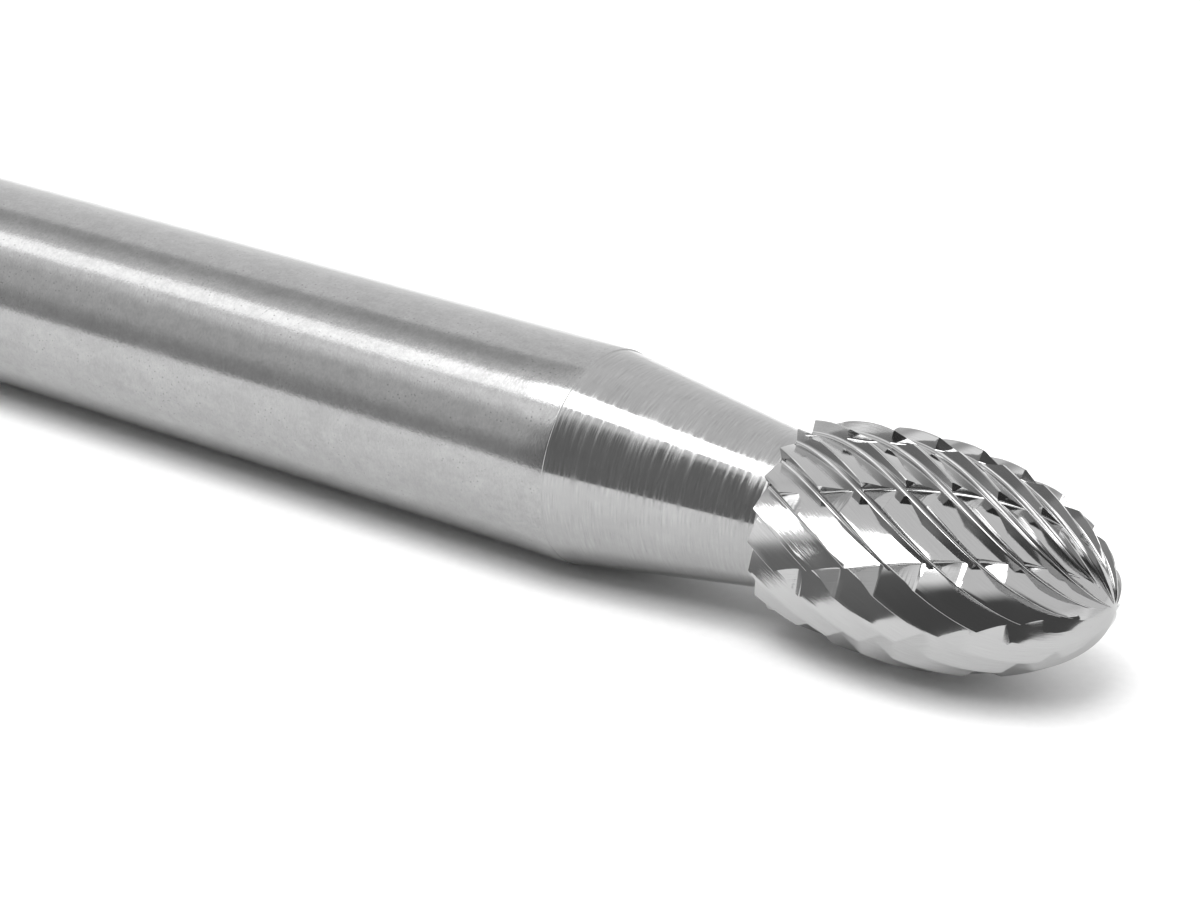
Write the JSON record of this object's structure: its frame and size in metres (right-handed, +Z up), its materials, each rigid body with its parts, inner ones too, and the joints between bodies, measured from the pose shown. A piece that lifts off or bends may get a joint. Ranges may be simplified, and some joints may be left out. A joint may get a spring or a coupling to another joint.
{
  "type": "carbide rotary burr",
  "caption": "Straight-shank rotary burr with a short cone and an egg-shaped carbide head, double cut with helical flutes and chip-breakers.",
  "frame": {"origin": "centre of the shank's rear end face, on the tool's axis", "axes": "+X along the tool's axis from the rear end to the nose, +Z up when the tool lies on a bench, +Y sideways"},
  "size_m": [0.0508, 0.0064, 0.0064],
  "materials": {
    "shank_steel": "ground cylinder and finely turned cone, uncoated hardened steel",
    "braze": "silver braze, smooth and slightly warm",
    "carbide": "diamond-ground cemented carbide, bright facets with fine grinding lines"
  },
  "bodies": {
    "root": {"shank": "shank_steel", "braze_disc": "braze", "burr_head": "carbide"}
  },
  "joints": []
}
